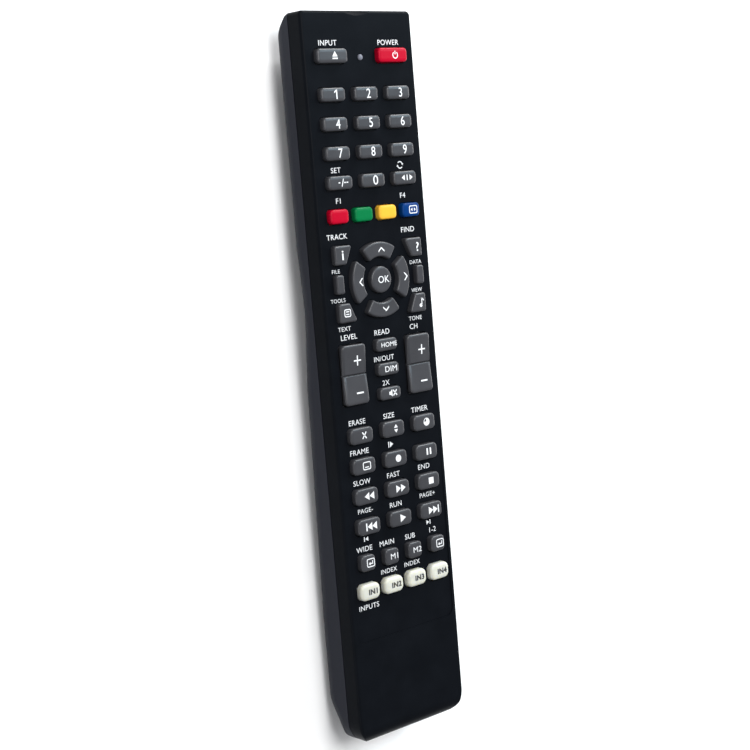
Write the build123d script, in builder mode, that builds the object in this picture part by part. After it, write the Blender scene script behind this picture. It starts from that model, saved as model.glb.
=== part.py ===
"""A universal remote control: two shells that snap together, 54 keys over a silicone mat, a circuit
board with its emitter, two AAA cells and a battery door that slides off at the tail.

Millimetres. X runs across the key face, +Y points to the emitter end (the head) and +Z out of the
keys. The origin is the bottom centre of the whole, so the tail end lies at -body_length / 2.
"""

import os
from math import cos, radians, sin

from build123d import *

os.makedirs("parts", exist_ok=True)

# Body
body_length = 232.8
body_width = 45.5
front_depth = 5.9
face_wall = 1.5
side_wall = 1.8
floor_wall = 1.6
tail_corner_radius = 8.0
head_corner_radius = 1.5
face_edge_radius = 1.0
tail_roll_radius = 6.0
tail_lean = 1.6
tail_slant_reach = 12.8
tail_slant_height = 7.6
tail_slant_bend = 12.0
belly_edge_radius = 5.8
head_cutback = 9.5
head_lip = 0.8
lap_thickness = 0.9
lap_height = 1.2
lap_gap = 0.15
seam_depth = 0.35
seam_height = 0.3
overrun = 1.0

# Heights of the underside above the table, and their places as shares of the length from the tail
grip_start_rise = 2.2
waist_rise = 4.6
grip_end_rise = 3.0
head_rise = 3.0
belly_flat_share = 0.1753
grip_start_share = 0.5017
waist_share = 0.6091
grip_end_share = 0.6821
head_pad_share = 0.8625
belly_bend_share = 0.475

# Sunken key panel: its lower edge is a crease across the face, and it runs out towards the head
dip_depth = 0.35
dip_margin = 1.7
dip_corner_radius = 3.0
crease_share = 0.1465
dip_end_share = 0.46

# Thumb scoop at the head edge of the face
scoop_width = 13.2
scoop_reach = 1.6
scoop_depth = 0.6

# Key sizes
key_rise = 1.8
key_travel = 0.8
key_edge = 0.4
key_corner = 0.7
small_key_corner = 0.4
play_key_corner = 0.9
source_key_corner = 1.1
hole_gap = 0.25
skirt_reach = 0.6
skirt_thickness = 0.4
skirt_gap = 0.2
press_gap = 0.2
top_key_width, top_key_height = 12.1, 4.5
number_key_width, number_key_height = 9.7, 4.25
colour_key_spacing, colour_key_height = 2.55, 4.4
menu_key_width, menu_key_height = 8.7, 4.0
play_key_width, play_key_height = 9.3, 5.1
select_key_width, select_key_height = 5.8, 5.2
source_key_spacing, source_key_height = 2.1, 5.3
side_key_width, side_key_height = 3.0, 6.0
rocker_width, rocker_length = 9.8, 19.0
rocker_valley = 0.7
rocker_slit_width = 0.35
rocker_slit_depth = 0.5
rocker_hole_gap = 0.35
corner_key_height = 6.0
corner_key_wide = 7.1
corner_key_narrow = 4.4
ok_radius = 4.25
arrow_inner_radius = 7.3
arrow_outer_radius = 12.0
arrow_half_angle = 35.0

# Key places: shares of the width either side of the middle, and of the length up from the tail
top_row_share = 0.9401
number_row_shares = (0.8896, 0.8509, 0.8123, 0.7736)
colour_row_share = 0.7292
ring_share = 0.639
rocker_row_share = 0.5161
play_row_shares = (0.4326, 0.3907, 0.3488, 0.3069)
select_row_share = 0.2573
source_row_share = 0.2169
top_column_share = 0.273
number_column_share = 0.2945
colour_column_share = 0.1093
rocker_column_share = 0.302
select_column_share = 0.1109
side_column_share = 0.369
corner_outer_share = 0.4
corner_row_pitch = 9.0
menu_row_pitch = 7.85

# Silicone mat and circuit board
board_thickness = 1.2
board_side_gap = 1.95
board_tail_share = 0.1753
board_head_gap = 5.4
mat_thickness = 0.5
mat_inset = 0.5
peg_width = 2.0
peg_gap = 0.15
peg_reach = 0.7
peg_column_share = 0.32
post_width = 4.4
emitter_radius = 2.5
emitter_gap = 0.25
emitter_setback = 0.2
indicator_radius = 0.95
indicator_body_width, indicator_body_length, indicator_body_height = 3.2, 2.6, 1.8
indicator_gap = 0.1
indicator_rise = 0.6
indicator_share = 0.9381
chip_width, chip_length, chip_height = 7.6, 18.0, 2.0
chip_share = 0.72
resonator_width, resonator_length, resonator_height = 7.0, 3.0, 4.5
resonator_share = 0.63
capacitor_width, capacitor_length, capacitor_height = 4.3, 7.3, 2.9
capacitor_share = 0.36
capacitor_column = 12.0

# Battery bay
cell_radius = 5.25
cell_length = 44.5
cell_nub_radius = 1.9
cell_nub_length = 1.2
cell_pitch = 11.0
cell_clearance = 0.45
cell_floor_gap = 0.85
cell_seat_gap = 0.1
bay_side_gap = 1.35
bay_wall = 1.2
bay_tail = 10.2
bay_drop = 0.2
contact_thickness = 0.4
contact_width = 9.0
bump_radius = 2.0
bump_height = 0.4
spring_length = 4.6
spring_radius = 2.6
tab_width = 2.0

# Battery door
door_gap = 0.3
door_ledge = 1.0
door_wall_height = 5.7
hook_length = 6.0
hook_root = 0.9
hook_top = 2.8
hook_places = (14.0, 30.0)
tongue_width = 5.0
tongue_reach = 0.8
tongue_thickness = 0.6
tongue_root = 1.5
grip_count = 5
grip_width = 10.0
grip_pitch = 2.2
grip_groove = 1.2
grip_depth = 0.4
grip_middle = 20.0

# Worked-out sizes
diagonal_share = 2 - 2**0.5
tail_end = -body_length / 2
head_end = body_length / 2


def station(share):
    """A place along the body, given as a share of its length from the tail."""
    return tail_end + share * body_length


def column(share):
    """A place across the body, given as a share of its width from the middle."""
    return share * body_width


cell_height = floor_wall + cell_floor_gap + cell_radius
board_bottom = cell_height + cell_radius + cell_clearance
board_top = board_bottom + board_thickness
mat_top = board_top + mat_thickness
key_foot = mat_top + press_gap + key_travel
face_underside = key_foot + skirt_thickness + skirt_gap
face_height = face_underside + face_wall
split_height = face_height - front_depth
key_top = face_height + key_rise
colour_key_width = 2 * colour_column_share * body_width - colour_key_spacing
source_key_width = 2 * select_column_share * body_width - source_key_spacing
board_width = body_width - 2 * (side_wall + board_side_gap)
board_head = head_end - board_head_gap
board_tail = tail_end + board_tail_share * body_length
board_span = board_head - board_tail
board_middle = (board_head + board_tail) / 2
emitter_height = board_bottom + board_thickness / 2
flat_seat = contact_thickness + spring_length + cell_seat_gap
nub_seat = contact_thickness + bump_height + cell_seat_gap
bay_start = tail_end + bay_tail + bay_wall
bay_end = bay_start + flat_seat + cell_length + nub_seat
bay_half_width = cell_pitch / 2 + cell_radius + bay_side_gap
bay_top = board_bottom - bay_drop
slot_half_width = bay_half_width - door_ledge
door_half_width = slot_half_width - door_gap
door_head = bay_end - door_gap
door_climb = (door_head - station(belly_flat_share)) / (grip_start_share - belly_flat_share) / body_length
tongue_bottom = floor_wall + grip_start_rise * door_climb + bay_drop
slant_slope = tail_slant_height / tail_slant_reach
tail_clear_height = max(hook_top, floor_wall + slant_slope * (tail_slant_reach - bay_tail)) + 2 * door_gap
tail_clear_reach = max(bay_start - tail_end, tail_slant_reach)
grip_steps = [step - (grip_count - 1) / 2 for step in range(grip_count)]


# Key outlines: each gives a sketch round its own centre, grown by some gap, with its corners cut


def cut_corners(shape, corner, grow):
    """Cuts every corner of the open sketch, so that a grown outline stays parallel; zero leaves them."""
    if corner:
        chamfer(shape.vertices(), corner + grow * diagonal_share)


def rectangle_outline(width, height):
    def outline(grow, corner):
        with BuildSketch() as shape:
            Rectangle(width + 2 * grow, height + 2 * grow)
            cut_corners(shape, corner, grow)
        return shape.sketch

    return outline


def circle_outline(radius):
    """A round key; its skirt, which has no cut corners, is square."""

    def outline(grow, corner):
        with BuildSketch() as shape:
            if corner:
                Circle(radius + grow)
            else:
                Rectangle(2 * (radius + grow), 2 * (radius + grow))
        return shape.sketch

    return outline


def arrow_outline(turn):
    """A quarter of the ring round the middle key, with straight radial ends; its centre is the ring's."""

    def outline(grow, corner):
        half = radians(arrow_half_angle)
        apex = -grow / sin(half)
        reach = 2 * arrow_outer_radius
        with BuildSketch() as shape:
            Circle(arrow_outer_radius + grow)
            Circle(arrow_inner_radius - grow, mode=Mode.SUBTRACT)
            with Locations(Rotation(0, 0, turn)):
                Polygon(
                    (apex, 0),
                    (apex + reach * cos(half), reach * sin(half)),
                    (apex + reach * cos(half), -reach * sin(half)),
                    align=None,
                    mode=Mode.INTERSECT,
                )
            cut_corners(shape, corner, grow)
        return shape.sketch

    return outline


def corner_outline(side, end):
    """A key with three square sides and one that slants round the ring; side and end say which corner."""

    def outline(grow, corner):
        outer = column(corner_outer_share)
        half = corner_key_height / 2
        with BuildSketch() as shape:
            with BuildLine():
                Polyline(
                    (side * outer, end * half),
                    (side * (outer - corner_key_wide), end * half),
                    (side * (outer - corner_key_narrow), -end * half),
                    (side * outer, -end * half),
                    close=True,
                )
            make_face()
            if grow:
                offset(amount=grow, kind=Kind.INTERSECTION)
            cut_corners(shape, corner, grow)
        return shape.sketch

    return outline


# Every key: name, outline, place and corner radius
keys = []


def lay_key(name, outline, x, y, corner=key_corner):
    keys.append((name, outline, x, y, corner))


def lay_row(names, outline, columns, y, corner=key_corner):
    for name, x in zip(names, columns):
        lay_key(name, outline, x, y, corner)


three_columns = [side * column(number_column_share) for side in (-1, 0, 1)]
two_top_columns = [side * column(top_column_share) for side in (-1, 1)]
four_colour_columns = [side * column(colour_column_share) for side in (-3, -1, 1, 3)]
four_select_columns = [side * column(select_column_share) for side in (-3, -1, 1, 3)]
two_rocker_columns = [side * column(rocker_column_share) for side in (-1, 1)]
ring_centre = station(ring_share)
rocker_centre = station(rocker_row_share)

lay_row(
    ("key_eject", "key_power"),
    rectangle_outline(top_key_width, top_key_height),
    two_top_columns,
    station(top_row_share),
)
number_names = (
    ("key_1", "key_2", "key_3"),
    ("key_4", "key_5", "key_6"),
    ("key_7", "key_8", "key_9"),
    ("key_dash", "key_0", "key_swap"),
)
for names, share in zip(number_names, number_row_shares):
    lay_row(names, rectangle_outline(number_key_width, number_key_height), three_columns, station(share))
lay_row(
    ("key_red", "key_green", "key_yellow", "key_blue"),
    rectangle_outline(colour_key_width, colour_key_height),
    four_colour_columns,
    station(colour_row_share),
)
lay_key("key_info", corner_outline(-1, 1), 0, ring_centre + corner_row_pitch)
lay_key("key_help", corner_outline(1, 1), 0, ring_centre + corner_row_pitch)
lay_key("key_page", corner_outline(-1, -1), 0, ring_centre - corner_row_pitch)
lay_key("key_tone", corner_outline(1, -1), 0, ring_centre - corner_row_pitch)
lay_row(
    ("key_side_left", "key_side_right"),
    rectangle_outline(side_key_width, side_key_height),
    [side * column(side_column_share) for side in (-1, 1)],
    ring_centre,
    small_key_corner,
)
lay_key("key_ok", circle_outline(ok_radius), 0, ring_centre)
for turn, name in enumerate(("key_right", "key_up", "key_left", "key_down")):
    lay_key(name, arrow_outline(90 * turn), 0, ring_centre, small_key_corner)
for row, name in enumerate(("key_menu", "key_saver", "key_mute")):
    lay_key(
        name,
        rectangle_outline(menu_key_width, menu_key_height),
        0,
        rocker_centre + (1 - row) * menu_row_pitch,
    )
play_names = (
    ("key_clear", "key_size", "key_timer"),
    ("key_frame", "key_record", "key_pause"),
    ("key_rewind", "key_forward", "key_stop"),
    ("key_previous", "key_play", "key_next"),
)
for names, share in zip(play_names, play_row_shares):
    lay_row(
        names,
        rectangle_outline(play_key_width, play_key_height),
        three_columns,
        station(share),
        play_key_corner,
    )
lay_row(
    ("key_select_1", "key_select_2", "key_select_3", "key_select_4"),
    rectangle_outline(select_key_width, select_key_height),
    four_select_columns,
    station(select_row_share),
)
lay_row(
    ("key_source_1", "key_source_2", "key_source_3", "key_source_4"),
    rectangle_outline(source_key_width, source_key_height),
    four_select_columns,
    station(source_row_share),
    source_key_corner,
)
rockers = [
    ("rocker_volume", two_rocker_columns[0]),
    ("rocker_channel", two_rocker_columns[1]),
]
rocker_outline = rectangle_outline(rocker_width, rocker_length)

# Locating pegs stand between the rows, where no key has its skirt
peg_stations = (
    (station(number_row_shares[-1]) + station(colour_row_share)) / 2,
    (station(play_row_shares[0]) + rocker_centre - rocker_length / 2) / 2,
    (station(play_row_shares[-1]) + station(select_row_share)) / 2,
)
peg_places = [(side * column(peg_column_share), y) for y in peg_stations for side in (-1, 1)]


def finish(piece, name):
    piece.part.label = name
    export_step(piece.part, f"parts/{name}.step")


# Keys: a cap that stands through the face, on a skirt that keeps it in
for name, outline, x, y, corner in keys:
    with BuildPart() as key:
        with BuildSketch(Plane((x, y, key_foot))):
            add(outline(skirt_reach, 0))
        extrude(amount=skirt_thickness)
        with BuildSketch(Plane((x, y, key_foot + skirt_thickness))):
            add(outline(0, corner))
        extrude(amount=key_top - key_foot - skirt_thickness)
        chamfer(key.faces().sort_by(Axis.Z)[-1].edges(), key_edge)
    finish(key, name)

# Rockers: two pads that slope down to a slit in the middle
for name, x in rockers:
    half = rocker_length / 2
    with BuildPart() as rocker:
        with BuildSketch(Plane((x, rocker_centre, key_foot))):
            add(rocker_outline(0, key_corner))
        extrude(amount=key_top - key_foot)
        with BuildSketch(Plane((x, rocker_centre, 0), x_dir=(0, 1, 0), z_dir=(1, 0, 0))):
            with BuildLine():
                Polyline(
                    (-half - overrun, key_foot),
                    (-half - overrun, key_top),
                    (-half, key_top),
                    (-rocker_slit_width / 2, key_top - rocker_valley),
                    (-rocker_slit_width / 2, key_top - rocker_valley - rocker_slit_depth),
                    (rocker_slit_width / 2, key_top - rocker_valley - rocker_slit_depth),
                    (rocker_slit_width / 2, key_top - rocker_valley),
                    (half, key_top),
                    (half + overrun, key_top),
                    (half + overrun, key_foot),
                    close=True,
                )
            make_face()
        extrude(amount=rocker_width, both=True, mode=Mode.INTERSECT)
        pads = rocker.faces().filter_by(lambda face: face.normal_at().Z > cos(radians(arrow_half_angle)))
        tops = pads.filter_by(lambda face: face.center().Z > key_top - rocker_valley)
        across = tops.edges().filter_by(Axis.X)
        slit_edges = across.sort_by(lambda edge: abs(edge.center().Y - rocker_centre))[:2]
        chamfer([edge for edge in tops.edges() if edge not in slit_edges], key_edge)
    finish(rocker, name)


def plan_outline(inset, head_radius):
    """The body seen from above, drawn in by an inset."""
    with BuildSketch() as shape:
        Rectangle(body_width - 2 * inset, body_length - 2 * inset)
        fillet(shape.vertices().group_by(Axis.Y)[0], tail_corner_radius - inset)
        if head_radius:
            fillet(shape.vertices().group_by(Axis.Y)[-1], head_radius)
    return shape.sketch


def front_profile(inset, drop):
    """The front shell seen from the side: the face rolls over into a leaning tail end."""
    with BuildSketch() as shape:
        with BuildLine():
            Polyline(
                (tail_end + inset, split_height),
                (tail_end + tail_lean + inset, face_height - drop),
                (head_end - inset, face_height - drop),
                (head_end - inset, split_height),
                close=True,
            )
        make_face()
        fillet(shape.vertices().group_by(Axis.Y)[-1].sort_by(Axis.X)[0], tail_roll_radius - inset)
    return shape.sketch


def back_profile(inset, bend):
    """The back shell seen from the side: the slanted tail, the flat under the cells, the waist, the head."""
    with BuildSketch() as shape:
        with BuildLine():
            FilletPolyline(
                (head_end + overrun, face_height),
                (tail_end - overrun, face_height),
                (tail_end - overrun, tail_slant_height + overrun * slant_slope + inset),
                (tail_end + tail_slant_reach, inset),
                (station(belly_flat_share), inset),
                (station(grip_start_share), grip_start_rise + inset),
                (station(waist_share), waist_rise + inset),
                (station(grip_end_share), grip_end_rise + inset),
                (station(head_pad_share), head_rise + inset),
                (head_end + overrun, head_rise + inset),
                radius=[0, 0, 0, tail_slant_bend if bend else 0, 0, bend / 2, bend, bend / 2, 0, 0],
                close=True,
            )
        make_face()
    return shape.sketch


side_plane = Plane((0, 0, 0), x_dir=(0, 1, 0), z_dir=(1, 0, 0))

# Space inside the front shell
with BuildPart() as front_cavity:
    with BuildSketch(Plane.XY.offset(split_height)):
        add(plan_outline(side_wall, 0))
    extrude(amount=face_underside - split_height)
    with BuildSketch(side_plane):
        add(front_profile(side_wall, face_wall))
    extrude(amount=body_width, both=True, mode=Mode.INTERSECT)

# The sunken key panel
with BuildPart() as panel_dip:
    with BuildSketch(side_plane):
        Polygon(
            (station(crease_share), face_height + overrun),
            (station(crease_share), face_height - dip_depth),
            (station(dip_end_share), face_height),
            (station(dip_end_share), face_height + overrun),
            align=None,
        )
    extrude(amount=body_width / 2 - dip_margin, both=True)
    fillet(panel_dip.edges().filter_by(Axis.Z).group_by(Axis.Y)[0], dip_corner_radius)

scoop_half = scoop_width / 2
scoop_circle = (scoop_half**2 + scoop_reach**2) / (2 * scoop_reach)
scoop_drop = scoop_circle**2 - (scoop_circle - scoop_reach) ** 2
scoop_lift = (scoop_drop - scoop_depth**2) / (2 * scoop_depth)
scoop_radius = (scoop_circle**2 + scoop_lift**2) ** 0.5

with BuildPart() as front_shell:
    with BuildSketch(Plane.XY.offset(split_height)):
        add(plan_outline(0, head_corner_radius))
    extrude(amount=face_height - split_height)
    fillet(front_shell.faces().sort_by(Axis.Z)[-1].edges(), face_edge_radius)
    with BuildSketch(side_plane):
        add(front_profile(0, 0))
    extrude(amount=body_width, both=True, mode=Mode.INTERSECT)
    add(front_cavity.part, mode=Mode.SUBTRACT)
    add(panel_dip.part, mode=Mode.SUBTRACT)
    with Locations((0, head_end - scoop_reach + scoop_circle, face_height + scoop_lift)):
        Sphere(scoop_radius, mode=Mode.SUBTRACT)
    with BuildSketch(Plane.XY.offset(face_underside - overrun)):
        for name, outline, x, y, corner in keys:
            with Locations((x, y)):
                add(outline(hole_gap, corner))
        for name, x in rockers:
            with Locations((x, rocker_centre)):
                add(rocker_outline(rocker_hole_gap, key_corner))
        with Locations((0, station(indicator_share))):
            Circle(indicator_radius + indicator_gap)
    extrude(amount=key_top - face_underside, mode=Mode.SUBTRACT)
    with BuildSketch(Plane.XY.offset(split_height)):
        add(plan_outline(lap_thickness, head_corner_radius - lap_thickness))
    extrude(amount=lap_height + lap_gap, mode=Mode.SUBTRACT)
    with BuildSketch(Plane.XY.offset(face_underside)):
        with Locations(peg_places):
            Rectangle(peg_width, peg_width)
    extrude(amount=board_bottom - peg_reach - face_underside)
    with Locations(Plane((0, head_end, emitter_height), z_dir=(0, 1, 0))):
        Cylinder(emitter_radius + emitter_gap, 2 * (side_wall + overrun), mode=Mode.SUBTRACT)
finish(front_shell, "front_shell")


def head_cut(inset):
    """What the slanting head leaves away, seen from the side and moved into the body by an inset."""
    top = split_height - head_lip
    slope = head_cutback / (top - head_rise)
    shift = inset * (1 + slope**2) ** 0.5

    def slant(height):
        return head_end - shift + slope * (height - top)

    with BuildSketch() as shape:
        Polygon(
            (slant(face_height), face_height),
            (head_end + head_cutback, face_height),
            (head_end + head_cutback, -overrun),
            (slant(-overrun), -overrun),
            align=None,
        )
    return shape.sketch


def belly_edges(shape):
    """The bottom edges of a part along both sides, from the tail slant to the head."""
    low = shape.edges().filter_by(lambda edge: edge.center().Z < split_height - overrun)
    return low.filter_by(Axis.Z, reverse=True).filter_by(Axis.X, reverse=True)


# The outer form of the back shell and door, and the space inside it
with BuildPart() as back_form:
    with BuildSketch(side_plane):
        add(back_profile(0, belly_bend_share * body_length))
    extrude(amount=body_width / 2, both=True)
    fillet(belly_edges(back_form), belly_edge_radius)
    with BuildSketch(side_plane):
        add(head_cut(0))
    extrude(amount=body_width, both=True, mode=Mode.SUBTRACT)
    with BuildSketch():
        add(plan_outline(0, head_corner_radius))
    extrude(amount=split_height, mode=Mode.INTERSECT)
    with BuildSketch(Plane.XY.offset(split_height)):
        add(plan_outline(0, 0))
        add(plan_outline(seam_depth, 0), mode=Mode.SUBTRACT)
    extrude(amount=-seam_height, mode=Mode.SUBTRACT)

with BuildPart() as back_cavity:
    with BuildSketch(side_plane):
        add(back_profile(floor_wall, 0))
    extrude(amount=body_width / 2 - side_wall, both=True)
    chamfer(belly_edges(back_cavity), (belly_edge_radius - side_wall) * diagonal_share)
    with BuildSketch():
        add(plan_outline(side_wall, 0))
    extrude(amount=split_height, mode=Mode.INTERSECT)
    with BuildSketch(side_plane):
        add(head_cut(floor_wall))
    extrude(amount=body_width, both=True, mode=Mode.SUBTRACT)

# Posts under the pegs and the walls round the cells, grown up from the middle of the floor
with BuildPart() as supports:
    with BuildSketch():
        with Locations(peg_places):
            Rectangle(post_width, post_width)
    extrude(amount=board_bottom)
    with BuildSketch():
        with Locations((0, (bay_start + bay_end) / 2)):
            Rectangle(2 * (bay_half_width + bay_wall), bay_end - bay_start + 2 * bay_wall)
            Rectangle(2 * bay_half_width, bay_end - bay_start, mode=Mode.SUBTRACT)
    extrude(amount=bay_top)
    with BuildSketch(side_plane):
        add(back_profile(floor_wall / 2, 0))
    extrude(amount=body_width / 2 - side_wall, both=True, mode=Mode.INTERSECT)
    with BuildSketch(Plane.XY.offset(board_bottom)):
        with Locations(peg_places):
            Rectangle(peg_width + 2 * peg_gap, peg_width + 2 * peg_gap)
    extrude(amount=-(peg_reach + board_thickness), mode=Mode.SUBTRACT)

# The way the door slides out: a slot in the floor, room for its hooks and tongue, and the tail opening
with BuildPart() as door_way:
    with BuildSketch():
        with Locations((0, tail_end - overrun)):
            Rectangle(2 * slot_half_width, bay_end - tail_end + overrun, align=(Align.CENTER, Align.MIN))
    extrude(amount=tongue_bottom)
    with BuildSketch(Plane.XY.offset(floor_wall)):
        with Locations((0, tail_end - overrun)):
            Rectangle(2 * bay_half_width, bay_tail + overrun, align=(Align.CENTER, Align.MIN))
    extrude(amount=door_wall_height + door_gap - floor_wall)
    with BuildSketch(Plane.XY.offset(floor_wall)):
        with Locations((0, tail_end)):
            Rectangle(2 * bay_half_width, tail_clear_reach, align=(Align.CENTER, Align.MIN))
    extrude(amount=tail_clear_height - floor_wall)
    with BuildSketch(Plane.XY.offset(tongue_bottom - bay_drop)):
        with Locations((0, bay_end)):
            Rectangle(tongue_width + 2 * door_gap, 2 * tongue_reach)
    extrude(amount=bay_drop + tongue_thickness + bay_drop)

with BuildPart() as back_shell:
    add(back_form.part)
    add(back_cavity.part, mode=Mode.SUBTRACT)
    add(supports.part)
    with BuildSketch(Plane.XY.offset(split_height)):
        add(plan_outline(lap_thickness + lap_gap, 0))
        add(plan_outline(side_wall, 0), mode=Mode.SUBTRACT)
    extrude(amount=lap_height)
    add(door_way.part, mode=Mode.SUBTRACT)
    with Locations(Plane((0, head_end, emitter_height), z_dir=(0, 1, 0))):
        Cylinder(emitter_radius + emitter_gap, 2 * (side_wall + overrun), mode=Mode.SUBTRACT)
finish(back_shell, "back_shell")

# Battery door: a piece of the same form, held by hooks along its sides and a tongue at its head end
with BuildPart() as battery_door:
    with BuildSketch():
        with Locations((0, tail_end)):
            Rectangle(2 * door_half_width, door_head - tail_end, align=(Align.CENTER, Align.MIN))
    extrude(amount=door_wall_height)
    with BuildSketch(Plane.XY.offset(floor_wall + door_gap)):
        with Locations((0, tail_end)):
            Rectangle(2 * (bay_half_width - door_gap), bay_tail, align=(Align.CENTER, Align.MIN))
    extrude(amount=door_wall_height - floor_wall - door_gap)
    add(back_form.part, mode=Mode.INTERSECT)
    add(back_cavity.part, mode=Mode.SUBTRACT)
    for place in hook_places:
        with BuildSketch(Plane((0, tail_end + place, 0), x_dir=(1, 0, 0), z_dir=(0, -1, 0))):
            for side in (-1, 1):
                Polygon(
                    (side * (door_half_width - hook_root), floor_wall / 2),
                    (side * door_half_width, floor_wall / 2),
                    (side * door_half_width, floor_wall + door_gap),
                    (side * (bay_half_width - door_gap), floor_wall + door_gap),
                    (side * (bay_half_width - door_gap), hook_top),
                    (side * (door_half_width - hook_root), hook_top),
                    align=None,
                )
        extrude(amount=-hook_length)
    with BuildSketch(side_plane):
        Polygon(
            (door_head - tongue_root, floor_wall),
            (door_head, floor_wall),
            (door_head, tongue_bottom),
            (door_head + tongue_reach, tongue_bottom),
            (door_head + tongue_reach, tongue_bottom + tongue_thickness),
            (door_head - tongue_root, tongue_bottom + tongue_thickness),
            align=None,
        )
    extrude(amount=tongue_width / 2, both=True)
    with BuildSketch(side_plane):
        with Locations([(tail_end + grip_middle + step * grip_pitch, 0) for step in grip_steps]):
            Polygon((-grip_groove / 2, 0), (0, grip_depth), (grip_groove / 2, 0), align=None)
    extrude(amount=grip_width / 2, both=True, mode=Mode.SUBTRACT)
finish(battery_door, "battery_door")

# Silicone mat
with BuildPart() as keypad_mat:
    with BuildSketch(Plane.XY.offset(board_top)):
        with Locations((0, board_middle)):
            Rectangle(board_width - 2 * mat_inset, board_span - 2 * mat_inset)
        with Locations(peg_places):
            Rectangle(peg_width + 2 * peg_gap, peg_width + 2 * peg_gap, mode=Mode.SUBTRACT)
        with Locations((0, station(indicator_share))):
            Rectangle(
                indicator_body_width + 2 * peg_gap,
                indicator_body_length + 2 * peg_gap,
                mode=Mode.SUBTRACT,
            )
    extrude(amount=mat_thickness)
finish(keypad_mat, "keypad_mat")

# Circuit board, with what is soldered to it as solids of their own
with BuildPart() as board:
    with BuildSketch(Plane.XY.offset(board_bottom)):
        with Locations((0, board_middle)):
            Rectangle(board_width, board_span)
        with Locations(peg_places):
            Rectangle(peg_width + 2 * peg_gap, peg_width + 2 * peg_gap, mode=Mode.SUBTRACT)
    extrude(amount=board_thickness)

with BuildPart() as chip:
    with BuildSketch(Plane.XY.offset(board_bottom)):
        with Locations((0, station(chip_share))):
            Rectangle(chip_width, chip_length)
    extrude(amount=-chip_height)

with BuildPart() as resonator:
    with BuildSketch(Plane.XY.offset(board_bottom)):
        with Locations((0, station(resonator_share))):
            Rectangle(resonator_width, resonator_length)
    extrude(amount=-resonator_height)

with BuildPart() as capacitor:
    with BuildSketch(Plane((capacitor_column, station(capacitor_share), board_bottom))):
        Rectangle(capacitor_width, capacitor_length)
    extrude(amount=-capacitor_height)

with BuildPart() as emitter:
    with BuildSketch(Plane((0, board_head, emitter_height), z_dir=(0, 1, 0))):
        Circle(emitter_radius)
    extrude(amount=board_head_gap - emitter_setback)
    chamfer(emitter.edges().sort_by(Axis.Y)[-1], emitter_radius / 2)

with BuildPart() as indicator:
    with BuildSketch(Plane((0, station(indicator_share), board_top))):
        Rectangle(indicator_body_width, indicator_body_length)
    extrude(amount=indicator_body_height)
    with BuildSketch(Plane((0, station(indicator_share), board_top))):
        Circle(indicator_radius)
    extrude(amount=face_height + indicator_rise - board_top)

# Contacts: a plate across both cells at the tail, and one for each cell at the head, tabbed to the board
tab_length = board_bottom - cell_height - contact_width / 2
with BuildPart() as tail_contact:
    with BuildSketch(Plane((0, bay_start, cell_height), x_dir=(1, 0, 0), z_dir=(0, -1, 0))):
        Rectangle(cell_pitch + contact_width, contact_width)
    extrude(amount=-contact_thickness)
    with BuildSketch(Plane((-cell_pitch / 2, bay_start + contact_thickness, cell_height), z_dir=(0, 1, 0))):
        Circle(spring_radius)
    extrude(amount=spring_length)
    with BuildSketch(Plane((cell_pitch / 2, bay_start + contact_thickness, cell_height), z_dir=(0, 1, 0))):
        Circle(bump_radius)
    extrude(amount=bump_height)

with BuildPart() as head_contact_spring:
    with BuildSketch(Plane((cell_pitch / 2, bay_end, cell_height), x_dir=(1, 0, 0), z_dir=(0, -1, 0))):
        Rectangle(contact_width, contact_width)
        with Locations((0, contact_width / 2)):
            Rectangle(tab_width, tab_length, align=(Align.CENTER, Align.MIN))
    extrude(amount=contact_thickness)
    with BuildSketch(Plane((cell_pitch / 2, bay_end - contact_thickness, cell_height), z_dir=(0, -1, 0))):
        Circle(spring_radius)
    extrude(amount=spring_length)

with BuildPart() as head_contact_bump:
    with BuildSketch(Plane((-cell_pitch / 2, bay_end, cell_height), x_dir=(1, 0, 0), z_dir=(0, -1, 0))):
        Rectangle(contact_width, contact_width)
        with Locations((0, contact_width / 2)):
            Rectangle(tab_width, tab_length, align=(Align.CENTER, Align.MIN))
    extrude(amount=contact_thickness)
    with BuildSketch(Plane((-cell_pitch / 2, bay_end - contact_thickness, cell_height), z_dir=(0, -1, 0))):
        Circle(bump_radius)
    extrude(amount=bump_height)

with BuildPart() as circuit_board:
    pass
pieces = (board, chip, resonator, capacitor, emitter, indicator)
contacts = (tail_contact, head_contact_spring, head_contact_bump)
solids = [piece.part.solid() for piece in pieces + contacts]
circuit_board.part = Compound(label="circuit_board", children=solids)
finish(circuit_board, "circuit_board")

# Two cells, side by side and turned end for end
cells = []
for side in (-1, 1):
    seat = bay_start + flat_seat if side < 0 else bay_end - flat_seat
    with BuildPart() as cell:
        with BuildSketch(Plane((side * cell_pitch / 2, seat, cell_height), z_dir=(0, -side, 0))):
            Circle(cell_radius)
        extrude(amount=cell_length - cell_nub_length)
        with BuildSketch(Plane((side * cell_pitch / 2, seat, cell_height), z_dir=(0, -side, 0))):
            Circle(cell_nub_radius)
        extrude(amount=cell_length)
    cells.append(cell.part.solid())
with BuildPart() as batteries:
    add(cells)
finish(batteries, "batteries")
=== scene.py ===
"""Looks of the universal remote control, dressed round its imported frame.

Blender works in metres. Sizes below are in mm, and turn into metres where a mesh is made.
"""

from math import atan2, cos, pi, radians, sin, tan

import bmesh
import bpy
from mathutils import Matrix, Vector


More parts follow.
